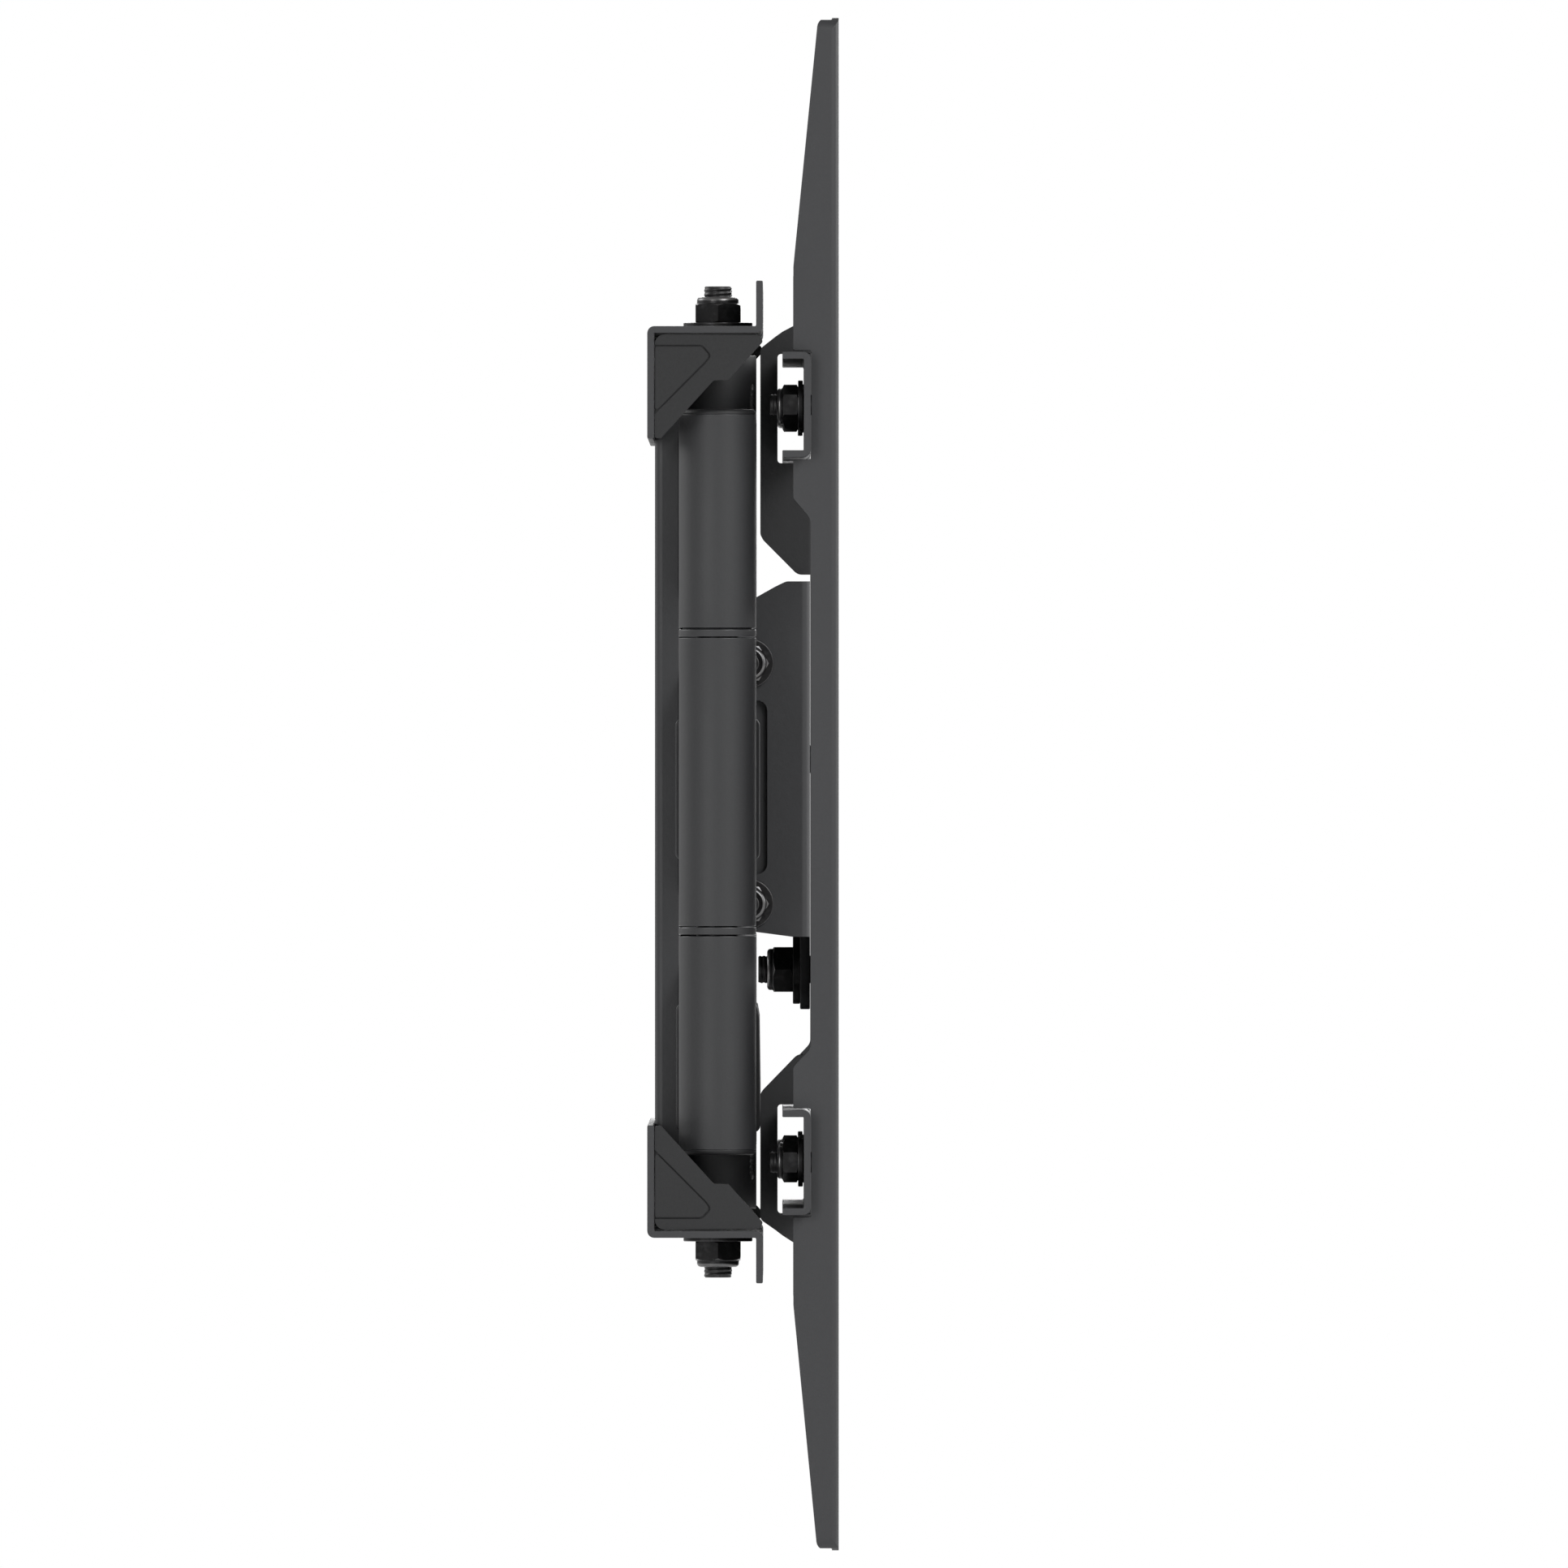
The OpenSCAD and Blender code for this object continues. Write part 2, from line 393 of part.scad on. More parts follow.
// Bolt with a low domed head, drawn along +Z from its tip
module dome_bolt(r, len) {
  cylinder(r = r, h = len + 0.1);
  translate([0, 0, len]) rotate_extrude() polygon(rounded([[0, 0], [6.4, 0], [6.4, 0.9, 0.6], [3.6, 2.5, 2], [0, 2.5]]));
}
module centre_plate_bolts() color(dark) centre_places() outward(0, 37.2, 0) dome_bolt(m6_r, plate_d - 37.2);
module centre_plate_washers() color(dark) centre_places() inward(0, web_d - sheet, 0) ring(7, m6_r, 1.4);
module centre_plate_nuts() color(dark) centre_places() inward(0, web_d - sheet - 1.4, 0) lock_nut(10, 4.4, m6_r, 4.7, 1.6, 90);
bracket_side = [[58, 219.5], [49.05, 219.5, 2.8], [42.1, 149.6, 6], [41.95, 148, 0], [41.95, 123.96, 0.5], [47.2, 123.96, 0.9], [47.2, 92.64, 0.9],
  [41.95, 92.64, 0.5], [41.95, 81.5, 1.6], [46.96, 75.6, 4], [46.96, -76.6, 3], [41.95, -81.9, 1.6], [41.95, -93.69, 0.5], [47.2, -93.69, 0.9],
  [47.2, -125, 0.9], [41.95, -125, 0.5], [41.95, -150.2, 6], [48.8, -220.7, 2.8], [58, -220.7]];
module tv_bracket() color(paint) difference() {
  b = bracket_w / 2;
  intersection() {
    plan(-220.7, 219.5) translate([bracket_x, 0]) polygon(rounded([
      [-b, -30], [-b, -face_d, 2.4], [b, -face_d, 2.4], [b, -30], [b - sheet, -30], [b - sheet, -face_d + sheet, 0.5],
      [-b + sheet, -face_d + sheet, 0.5], [-b + sheet, -30]]));
    side(bracket_x - 40, bracket_x + 40) polygon(rounded(bracket_side));
    front(30, 70) translate([bracket_x, 0]) polygon(rounded([[-b, 219.5, 4], [b, 219.5, 4], [b, -220.7, 4], [-b, -220.7, 4]]));
  }
  for (z = [50, 100, 150, 200], s = [-1, 1]) front(45, 60) translate([bracket_x, tv_z + s * z]) circle(vesa_hole_r);
}
module bracket_tabs() color(paint) for (z = [up_z, low_z]) difference() {
  front(47.2, plate_d) translate([bracket_x, z]) square([bracket_w - 2 * sheet, 27], center = true);
  front(40, 60) translate([bracket_x, z]) circle(m6_r);
}
module bracket_places() for (z = [up_z, low_z]) translate([bracket_x, 0, z]) children();
module bracket_bolts() color(dark) bracket_places() outward(0, 35.1, 0) dome_bolt(m6_r, plate_d - 35.1);
module bracket_washers() color(dark) bracket_places() inward(0, 44.7, 0) ring(7, m6_r, 1.4);
module bracket_nuts() color(dark) bracket_places() inward(0, 43.3, 0) lock_nut(10, 4.4, m6_r, 4.7, 1.5, 90);
module right_tv_bracket() tv_bracket();
module right_bracket_tabs() bracket_tabs();
module right_bracket_bolts() bracket_bolts();
module right_bracket_washers() bracket_washers();
module right_bracket_nuts() bracket_nuts();
module left_tv_bracket() mirror([1, 0, 0]) tv_bracket();
module left_bracket_tabs() mirror([1, 0, 0]) bracket_tabs();
module left_bracket_bolts() mirror([1, 0, 0]) bracket_bolts();
module left_bracket_washers() mirror([1, 0, 0]) bracket_washers();
module left_bracket_nuts() mirror([1, 0, 0]) bracket_nuts();

top_rail();
bottom_rail();
left_post();
right_post();
left_end_caps();
right_end_caps();
wall_pivot_ears();
wall_pivot_bolts();
wall_pivot_washers();
wall_pivot_nuts();
wall_pivot_bushes();
left_upper_arm();
left_lower_arm();
left_inner_barrels();
left_elbow_pin();
left_elbow_nut();
left_elbow_caps();
left_elbow_spacers();
left_lower_cable_clip();
left_outer_arm();
left_outer_barrels();
left_outer_cable_clip();
right_upper_arm();
right_lower_arm();
right_inner_barrels();
right_elbow_pin();
right_elbow_nut();
right_elbow_caps();
right_elbow_spacers();
right_lower_cable_clip();
right_outer_arm();
right_outer_barrels();
right_outer_cable_clip();
bridge_ear_plates();
bridge_channel();
bridge_pivot_pins();
tilt_yoke();
tilt_bolts();
tilt_washers();
tilt_nuts();
level_tongue();
level_bolts();
level_washers();
level_nuts();
centre_plate();
upper_tv_channel();
lower_tv_channel();
centre_plate_bolts();
centre_plate_washers();
centre_plate_nuts();
left_tv_bracket();
left_bracket_tabs();
left_bracket_bolts();
left_bracket_washers();
left_bracket_nuts();
right_tv_bracket();
right_bracket_tabs();
right_bracket_bolts();
right_bracket_washers();
right_bracket_nuts();
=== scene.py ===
import json
import math

import bmesh
import bpy
from mathutils import Matrix, Vector

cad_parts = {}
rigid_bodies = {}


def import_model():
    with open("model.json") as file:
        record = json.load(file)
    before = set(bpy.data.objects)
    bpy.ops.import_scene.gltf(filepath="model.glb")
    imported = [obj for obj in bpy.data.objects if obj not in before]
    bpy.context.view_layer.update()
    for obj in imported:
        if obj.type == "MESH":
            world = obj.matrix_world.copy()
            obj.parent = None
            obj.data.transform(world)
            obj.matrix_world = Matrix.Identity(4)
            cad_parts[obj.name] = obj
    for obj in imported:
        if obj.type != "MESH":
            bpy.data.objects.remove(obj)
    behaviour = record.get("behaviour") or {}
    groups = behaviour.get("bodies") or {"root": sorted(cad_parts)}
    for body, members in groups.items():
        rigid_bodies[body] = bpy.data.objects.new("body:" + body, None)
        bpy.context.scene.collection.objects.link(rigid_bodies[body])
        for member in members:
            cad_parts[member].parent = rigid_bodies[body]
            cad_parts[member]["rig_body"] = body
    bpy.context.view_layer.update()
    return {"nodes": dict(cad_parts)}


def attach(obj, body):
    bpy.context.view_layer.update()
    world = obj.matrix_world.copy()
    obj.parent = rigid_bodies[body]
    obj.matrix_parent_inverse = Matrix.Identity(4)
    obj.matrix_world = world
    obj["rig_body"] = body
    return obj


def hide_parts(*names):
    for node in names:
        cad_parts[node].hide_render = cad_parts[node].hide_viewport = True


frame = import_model()


NODES = frame["nodes"]
BODY_OF = {n: o["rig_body"] for n, o in NODES.items()}
MM = 0.001
PIVOT_X, PIVOT_D, ELBOW_X = 58.0, 20.16, 206.0
RAIL_Z = 130.85


# ------------------------------------------------------------------ materials
class Nodes:
    """Short hands for building one material's node tree."""

    def __init__(self, name):
        self.mat = bpy.data.materials.new(name)
        self.mat.use_nodes = True
        self.t = self.mat.node_tree
        self.t.nodes.clear()
        self.out = self.t.nodes.new("ShaderNodeOutputMaterial")
        self.bsdf = self.t.nodes.new("ShaderNodeBsdfPrincipled")
        self.t.links.new(self.bsdf.outputs["BSDF"], self.out.inputs["Surface"])
        self.coord = self.t.nodes.new("ShaderNodeTexCoord").outputs["Object"]

    def link(self, a, b):
        self.t.links.new(a, b)

    def noise(self, scale, detail=2.0, rough=0.5, distortion=0.0, vector=None):
        n = self.t.nodes.new("ShaderNodeTexNoise")
        n.inputs["Scale"].default_value = scale
        n.inputs["Detail"].default_value = detail
        n.inputs["Roughness"].default_value = rough
        n.inputs["Distortion"].default_value = distortion
        self.link(vector or self.coord, n.inputs["Vector"])
        return n.outputs["Fac"]

    def voronoi(self, scale, vector=None):
        n = self.t.nodes.new("ShaderNodeTexVoronoi")
        n.feature = "SMOOTH_F1"
        n.inputs["Scale"].default_value = scale
        self.link(vector or self.coord, n.inputs["Vector"])
        return n.outputs["Distance"]

    def stretch(self, x, y, z):
        n = self.t.nodes.new("ShaderNodeMapping")
        n.inputs["Scale"].default_value = (x, y, z)
        self.link(self.coord, n.inputs["Vector"])
        return n.outputs["Vector"]

    def span(self, value, a, b, lo, hi):
        n = self.t.nodes.new("ShaderNodeMapRange")
        self.link(value, n.inputs["Value"])
        n.inputs["From Min"].default_value, n.inputs["From Max"].default_value = a, b
        n.inputs["To Min"].default_value, n.inputs["To Max"].default_value = lo, hi
        return n.outputs["Result"]

    def mix(self, fac, a, b):
        n = self.t.nodes.new("ShaderNodeMix")
        n.data_type = "RGBA"
        for sock, v in ((n.inputs[0], fac), (n.inputs[6], a), (n.inputs[7], b)):
            if isinstance(v, (float, int)):
                sock.default_value = v
            elif isinstance(v, tuple):
                sock.default_value = v + (1.0,)
            else:
                self.link(v, sock)
        return n.outputs[2]

    def math(self, op, a, b=None):
        n = self.t.nodes.new("ShaderNodeMath")
        n.operation = op
        n.use_clamp = True
        for sock, v in ((n.inputs[0], a), (n.inputs[1], b)):
            if v is None:
                continue
            if isinstance(v, (float, int)):
                sock.default_value = v
            else:
                self.link(v, sock)
        return n.outputs[0]

    def bump(self, height, strength, distance, normal=None):
        n = self.t.nodes.new("ShaderNodeBump")
        n.inputs["Strength"].default_value = strength
        n.inputs["Distance"].default_value = distance
        self.link(height, n.inputs["Height"])
        if normal is not None:
            self.link(normal, n.inputs["Normal"])
        return n.outputs["Normal"]


def powder_coat(name, base, rough, edge_wear_and_highlight=0.0):
    """Fine-textured black powder coat: orange peel and a fine grain. edge_wear_and_highlight is how far the coat is
    lightened, as rubbed-thin wear and as a painted highlight.
    """
    m = Nodes(name)
    peel = m.noise(420, 2.0, 0.45)
    grain = m.noise(1500, 3.0, 0.6)
    speck = m.voronoi(1900)
    cloud = m.noise(11, 3.0, 0.55)
    fine = m.span(grain, 0.35, 0.7, 0.0, 1.0)
    dark = tuple(c * 0.78 for c in base)
    light = tuple(c * 1.28 for c in base)
    col = m.mix(m.span(cloud, 0.3, 0.7, 0.0, 1.0), tuple(c * 0.93 for c in base), tuple(c * 1.07 for c in base))
    col = m.mix(m.math("MULTIPLY", fine, 0.38), col, light)
    col = m.mix(m.span(speck, 0.05, 0.32, 0.3, 0.0), col, dark)
    # paint is thinner and a little rubbed where the sheet turns, and painted lighter there as a highlight along the
    # edges
    wear = m.math("MULTIPLY", m.span(m.noise(160, 3.0), 0.35, 0.65, 0.35, 1.0), edge_wear_and_highlight)
    col = m.mix(wear, col, tuple(c * 2.1 + 0.006 for c in base))
    m.link(col, m.bsdf.inputs["Base Color"])
    r = m.span(m.noise(34, 3.0), 0.3, 0.7, rough - 0.05, rough + 0.05)
    m.link(m.math("SUBTRACT", r, m.math("MULTIPLY", wear, 0.12)), m.bsdf.inputs["Roughness"])
    n = m.bump(peel, 0.22, 0.00012)
    n = m.bump(grain, 0.30, 0.00007, n)
    m.link(n, m.bsdf.inputs["Normal"])
    m.bsdf.inputs["Specular IOR Level"].default_value = 0.5
    return m.mat


def moulded_plastic(name, base, rough, edge_wear_and_highlight=0.0):
    """Spark-eroded mould texture with a faint flow variation."""
    m = Nodes(name)
    vdi = m.voronoi(1250)
    fine = m.noise(2400, 2.0, 0.6)
    flow = m.noise(18, 2.0, 0.5, 1.2, m.stretch(1, 1, 0.35))
    col = m.mix(m.span(flow, 0.35, 0.65, 0.0, 1.0), tuple(c * 0.86 for c in base), tuple(c * 1.16 for c in base))
    col = m.mix(m.span(vdi, 0.1, 0.5, 0.0, 0.3), col, tuple(c * 1.5 for c in base))
    # edge copies are lighter: rubbed wear together with a painted highlight along the edges
    col = m.mix(edge_wear_and_highlight, col, tuple(c * 2.0 for c in base))
    m.link(col, m.bsdf.inputs["Base Color"])
    m.link(m.span(fine, 0.3, 0.7, rough - 0.05, rough + 0.07), m.bsdf.inputs["Roughness"])
    n = m.bump(vdi, 0.35, 0.00008)
    n = m.bump(fine, 0.2, 0.00003, n)
    m.link(n, m.bsdf.inputs["Normal"])
    m.bsdf.inputs["Specular IOR Level"].default_value = 0.36
    return m.mat


def black_zinc(name, base, rough, turn=(1, 1, 9)):
    """Black zinc over turned or cold-headed steel, rubbed bright in random spots; given a light base it also paints
    highlights along edges and rims, together with rubbed wear.
    """
    m = Nodes(name)
    lines = m.noise(260, 3.0, 0.6, 0.0, m.stretch(*turn))
    blotch = m.noise(170, 4.0, 0.6)
    col = m.mix(m.span(blotch, 0.35, 0.66, 0.0, 1.0), tuple(c * 0.75 for c in base), (base[0] * 1.22, base[1] * 1.19, base[2] * 1.15))
    wear = m.span(m.noise(420, 3.0), 0.5, 0.75, 0.0, 0.12)
    col = m.mix(wear, col, (0.20, 0.20, 0.205))
    m.link(col, m.bsdf.inputs["Base Color"])
    m.link(m.span(lines, 0.3, 0.7, rough - 0.03, rough + 0.05), m.bsdf.inputs["Roughness"])
    m.bsdf.inputs["Metallic"].default_value = 0.85
    n = m.bump(lines, 0.10, 0.00002)
    n = m.bump(blotch, 0.08, 0.00003, n)
    m.link(n, m.bsdf.inputs["Normal"])
    return m.mat


def nylon(name, base):
    m = Nodes(name)
    mottled = m.noise(600, 3.0, 0.5)
    swirl = m.noise(150, 2.0, 0.5, 0.8)
    col = m.mix(m.span(swirl, 0.3, 0.7, 0.0, 1.0), tuple(c * 0.8 for c in base), tuple(c * 1.25 for c in base))
    m.link(col, m.bsdf.inputs["Base Color"])
    m.link(m.span(mottled, 0.3, 0.7, 0.34, 0.48), m.bsdf.inputs["Roughness"])
    m.link(m.bump(mottled, 0.2, 0.00004), m.bsdf.inputs["Normal"])
    return m.mat


def weld_metal(name, base):
    """Painted weld: the coat pools between the ripples."""
    m = Nodes(name)
    pool = m.noise(700, 3.0, 0.6)
    cloud = m.noise(90, 3.0)
    col = m.mix(m.span(cloud, 0.3, 0.7, 0.0, 1.0), tuple(c * 0.75 for c in base), tuple(c * 1.2 for c in base))
    m.link(col, m.bsdf.inputs["Base Color"])
    m.link(m.span(pool, 0.3, 0.7, 0.32, 0.5), m.bsdf.inputs["Roughness"])
    m.link(m.bump(pool, 0.3, 0.00012), m.bsdf.inputs["Normal"])
    return m.mat


PAINT = powder_coat("fine_black_powder_coat", (0.0182, 0.0186, 0.0203), 0.52)
PAINT_ARM = powder_coat("arm_powder_coat", (0.0140, 0.0143, 0.0155), 0.56)
PAINT_DARK = powder_coat("plate_powder_coat", (0.0125, 0.0128, 0.0138), 0.54)
PLASTIC = moulded_plastic("moulded_black_plastic", (0.0090, 0.0092, 0.0098), 0.55)
CLIP = moulded_plastic("clip_black_plastic", (0.011, 0.0112, 0.012), 0.42)
ZINC = black_zinc("black_zinc_steel", (0.022, 0.022, 0.023), 0.36)
# light zinc for edges and nut collars: rubbed wear together with a painted highlight
RIM_WEAR_AND_HIGHLIGHT = black_zinc("zinc_edge_wear_and_painted_highlight", (0.13, 0.13, 0.133), 0.30)
ZINC_FLAT = black_zinc("black_zinc_washer", (0.020, 0.020, 0.021), 0.44, (4, 4, 4))
THREAD = black_zinc("rolled_thread_steel", (0.034, 0.034, 0.035), 0.42, (2, 2, 2))
NYLON = nylon("nylon_insert", (0.012, 0.012, 0.013))
BUSH = nylon("bush_nylon", (0.075, 0.075, 0.072))
WELD = weld_metal("painted_weld", (0.019, 0.0195, 0.021))


# the rounded edges of each finish, where it is rubbed or thinner and painted lighter as a highlight along the edges
EDGE_OF = {
    PAINT: powder_coat("powder_coat_edges", (0.0182, 0.0186, 0.0203), 0.42, 0.45),
    PAINT_ARM: powder_coat("arm_coat_edges", (0.0140, 0.0143, 0.0155), 0.42, 0.5),
    PAINT_DARK: powder_coat("plate_coat_edges", (0.0125, 0.0128, 0.0138), 0.42, 0.5),
    PLASTIC: moulded_plastic("plastic_edges", (0.0090, 0.0092, 0.0098), 0.46, 0.35),
    CLIP: moulded_plastic("clip_edges", (0.011, 0.0112, 0.012), 0.36, 0.35),
    ZINC: RIM_WEAR_AND_HIGHLIGHT,
    ZINC_FLAT: black_zinc("washer_edge", (0.055, 0.055, 0.057), 0.34),
    BUSH: BUSH,
}


# ------------------------------------------------------------------ mesh helpers
def new_piece(name, verts, faces, mats, body, slots=None, angle=35.0):
    """A mesh piece in metres that rides on a body. slots gives each face's material index."""
    me = bpy.data.meshes.new(name)
    me.from_pydata([tuple(v) for v in verts], [], faces)
    for m in mats:
        me.materials.append(m)
    if slots:
        me.polygons.foreach_set("material_index", slots)
    bm = bmesh.new()
    bm.from_mesh(me)
    bmesh.ops.remove_doubles(bm, verts=bm.verts, dist=1e-8)
    bmesh.ops.recalc_face_normals(bm, faces=bm.faces)
    finish_bm(bm, me, angle)
    o = bpy.data.objects.new(name, me)
    bpy.context.scene.collection.objects.link(o)
    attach(o, body)
    return o


def finish_bm(bm, me, angle):
    lim = math.radians(angle)
    for f in bm.faces:
        f.smooth = True
    for e in bm.edges:
        e.smooth = len(e.link_faces) == 2 and e.calc_face_angle(0.0) < lim
    bm.to_mesh(me)
    bm.free()
    me.update()


def softened(node, mat, width, segments=2, angle=30.0):
    """A copy of a CAD node's surface with its sharp edges rounded, standing in for that node."""
    src = NODES[node].data
    bm = bmesh.new()
    bm.from_mesh(src)
    bmesh.ops.remove_doubles(bm, verts=bm.verts, dist=2e-6)
    bmesh.ops.dissolve_degenerate(bm, edges=bm.edges, dist=1e-6)
    bmesh.ops.dissolve_limit(bm, angle_limit=math.radians(0.4), verts=bm.verts, edges=bm.edges, use_dissolve_boundaries=False)
    me = bpy.data.meshes.new(node + "_finish")
    bm.to_mesh(me)
    bm.free()
    me.materials.append(mat)
    me.materials.append(EDGE_OF[mat])
    for p in me.polygons:
        p.material_index = 0
    o = bpy.data.objects.new(node + "_finish", me)
    bpy.context.scene.collection.objects.link(o)
    if width > 0:
        b = o.modifiers.new("edges", "BEVEL")
        b.width = width * MM
        b.segments = segments
        b.limit_method = "ANGLE"
        b.angle_limit = math.radians(angle)
        b.use_clamp_overlap = True
        b.miter_outer = "MITER_ARC"
        # bevel faces take the lighter edge material: rubbed wear together with a painted highlight
        b.material = 1
        bpy.context.view_layer.update()
        ev = o.evaluated_get(bpy.context.evaluated_depsgraph_get())
        baked = bpy.data.meshes.new_from_object(ev)
        o.modifiers.clear()
        o.data = baked
        me = baked
    for name in ("custom_normal", "sharp_edge", "sharp_face"):
        a = me.attributes.get(name)
        if a:
            me.attributes.remove(a)
    bm = bmesh.new()
    bm.from_mesh(me)
    bmesh.ops.triangulate(bm, faces=[f for f in bm.faces if len(f.verts) > 4])
    finish_bm(bm, me, 33.0)
    # large faces keep their own normals, so the flats stay flat up to the rounded edges
    w = o.modifiers.new("flats", "WEIGHTED_NORMAL")
    w.mode = "FACE_AREA"
    w.weight = 90
    w.keep_sharp = True
    bpy.context.view_layer.update()
    baked = bpy.data.meshes.new_from_object(o.evaluated_get(bpy.context.evaluated_depsgraph_get()))
    o.modifiers.clear()
    o.data = baked
    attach(o, BODY_OF[node])
    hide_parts(node)
    return o


def placed(kind, x, d, z):
    """Matrix (mm) for something drawn along +Z: up, down, out from the wall, in to it, left or right."""
    r = {
        "up": Matrix.Identity(4),
        "down": Matrix.Rotation(math.pi, 4, "X"),
        "out": Matrix.Rotation(math.pi / 2, 4, "X"),
        "in": Matrix.Rotation(-math.pi / 2, 4, "X"),
        "left": Matrix.Rotation(-math.pi / 2, 4, "Y"),
        "right": Matrix.Rotation(math.pi / 2, 4, "Y"),
    }[kind]
    return Matrix.Translation(Vector((x, -d, z))) @ r


class Shell:
    """Collects rings of points into one mesh, with a material index for each band."""

    def __init__(self):
        self.v, self.f, self.m = [], [], []

    def add(self, rings, mats, closed=False, cap_first=False, cap_last=False, mat=0):
        """rings are equal-length lists of points; mats is one index for each band."""
        n = len(rings[0])
        base = len(self.v)
        for r in rings:
            self.v.extend(r)
        total = len(rings)
        bands = total if closed else total - 1
        for i in range(bands):
            a, b = base + i * n, base + ((i + 1) % total) * n
            for j in range(n):
                k = (j + 1) % n
                self.f.append((a + j, a + k, b + k, b + j))
                self.m.append(mats[i] if i < len(mats) else mat)
        for on, i in ((cap_first, 0), (cap_last, total - 1)):
            if on:
                ring = rings[i]
                c = sum((Vector(p) for p in ring), Vector()) / n
                self.v.append(c)
                ci = len(self.v) - 1
                for j in range(n):
                    self.f.append((base + i * n + j, base + i * n + (j + 1) % n, ci))
                    self.m.append(mat)

    def piece(self, name, mats, body, angle=35.0):
        return new_piece(name, [Vector(p) * MM for p in self.v], self.f, mats, body, self.m, angle)


def circle(r, z, n, m):
    return [m @ Vector((r * math.cos(2 * math.pi * j / n), r * math.sin(2 * math.pi * j / n), z)) for j in range(n)]


def hex_radius(t, af, turn):
    a = (math.degrees(t) - turn) % 60.0 - 30.0
    return af / 2 / math.cos(math.radians(a))


def hex_ring(af, turn, n, m, z=None, chamfer=None, lim=1e9):
    out = []
    for j in range(n):
        t = 2 * math.pi * j / n
        r = min(hex_radius(t, af, turn), lim)
        h = z if chamfer is None else z + chamfer[1] * max(0.0, r - chamfer[0]) * math.tan(math.radians(30))
        out.append(m @ Vector((r * math.cos(t), r * math.sin(t), h)))
    return out


def lock_nut(sh, m, af, h, bore, cr, ch, turn=0):
    """Hex nut with chamfered corners, a crimped collar and its nylon ring."""
    n = 96
    rc = af / 2 * 1.03
    rings = [
        circle(bore, 0.45, n, m), circle(bore + 0.45, 0.0, n, m), circle(rc, 0.0, n, m),
        hex_ring(af, turn, n, m, 0.0, (rc, 1)), hex_ring(af, turn, n, m, h, (rc, -1)), circle(rc, h, n, m),
        circle(cr + 0.25, h, n, m), circle(cr, h + 0.3, n, m), circle(cr, h + ch * 0.5, n, m), circle(cr * 0.985, h + ch * 0.72, n, m),
        circle(cr * 0.93, h + ch * 0.9, n, m), circle(cr * 0.85, h + ch, n, m), circle(cr * 0.80, h + ch * 0.97, n, m),
        circle(cr * 0.785, h + ch * 0.72, n, m), circle(bore + 0.3, h + ch * 0.66, n, m), circle(bore - 0.1, h + ch * 0.45, n, m), circle(bore - 0.1, h * 0.9, n, m),
    ]
    # bands with index 3 (top chamfer, collar crown) take the light edge zinc: a painted highlight as well as rubbed
    # wear
    sh.add(rings, [0, 0, 0, 0, 3, 0, 0, 0, 3, 3, 3, 0, 0, 1, 1, 1, 0], closed=True)


def hex_head(sh, m, af, h, turn=0):
    n = 96
    rc = af / 2 * 0.97
    rings = [circle(rc, 0.0, n, m), hex_ring(af, turn, n, m, 0.05, (rc, 1)), hex_ring(af, turn, n, m, h, (rc, -1)), circle(rc * 0.985, h, n, m),
             circle(rc * 0.80, h, n, m), circle(rc * 0.74, h - 0.22, n, m)]
    sh.add(rings, [0] * 5, cap_first=True, cap_last=True)


def thread(sh, m, r, pitch, z0, z1, plain_to=None, n=40, mat=0, tip_start=False):
    """Rolled thread from z0 to z1 with a chamfered end at z1, and a plain shank below it from plain_to."""
    depth = 0.16 * pitch
    steps = max(6, int((z1 - z0) / pitch * 8))
    rings = []
    if plain_to is not None:
        rings += [circle(r, plain_to, n, m), circle(r, z0 - 0.3, n, m), circle(r - depth * 0.6, z0 - 0.02, n, m)]
    for i in range(steps + 1):
        z = z0 + (z1 - z0) * i / steps
        lim = r - max(0.0, 0.4 - (z1 - z)) * 0.9
        if tip_start:
            lim = min(lim, r - max(0.0, 0.4 - (z - z0)) * 0.9)
        ring = []
        for j in range(n):
            t = 2 * math.pi * j / n
            ph = (z / pitch - j / n) % 1.0
            tri = min(1.0, max(0.0, (1 - abs(2 * ph - 1)) * 1.35 - 0.14))
            rr = min(lim, r - depth * (1 - tri))
            ring.append(m @ Vector((rr * math.cos(t), rr * math.sin(t), z)))
        rings.append(ring)
    sh.add(rings, [mat] * len(rings), cap_first=True, cap_last=True, mat=mat)


def dome(sh, m, prof, n=48, mat=0):
    rings = [circle(max(r, 0.02), z, n, m) for r, z in prof]
    sh.add(rings, [mat] * len(rings), cap_first=True, cap_last=True, mat=mat)


def bead(sh, pts, r, ripple=1.7, side=None):
    """A weld bead: a tube whose radius swells with each ripple, along straight runs between points (mm)."""
    path = []
    for a, b in zip(pts[:-1], pts[1:]):
        a, b = Vector(a), Vector(b)
        k = max(2, int((b - a).length / 0.42))
        path += [a.lerp(b, i / k) for i in range(k + (b is pts[-1]))]
    path.append(Vector(pts[-1]))
    total, rings = 0.0, []
    for i, p in enumerate(path):
        if i:
            total += (p - path[i - 1]).length
        t = (path[min(i + 1, len(path) - 1)] - path[max(i - 1, 0)]).normalized()
        u = t.orthogonal().normalized()
        v = t.cross(u)
        ph = (total / ripple) % 1.0
        end = min(1.0, min(i, len(path) - 1 - i) / 3.0 + 0.25)
        rr = r * (0.80 + 0.26 * math.sqrt(max(0.0, 1 - (2 * ph - 1) ** 2))) * end
        wob = 0.10 * math.sin(total * 0.9) * r
        rings.append([p + v * wob + (u * math.cos(2 * math.pi * j / 10) + v * math.sin(2 * math.pi * j / 10)) * rr for j in range(10)])
    sh.add(rings, [0] * len(rings), cap_first=True, cap_last=True)


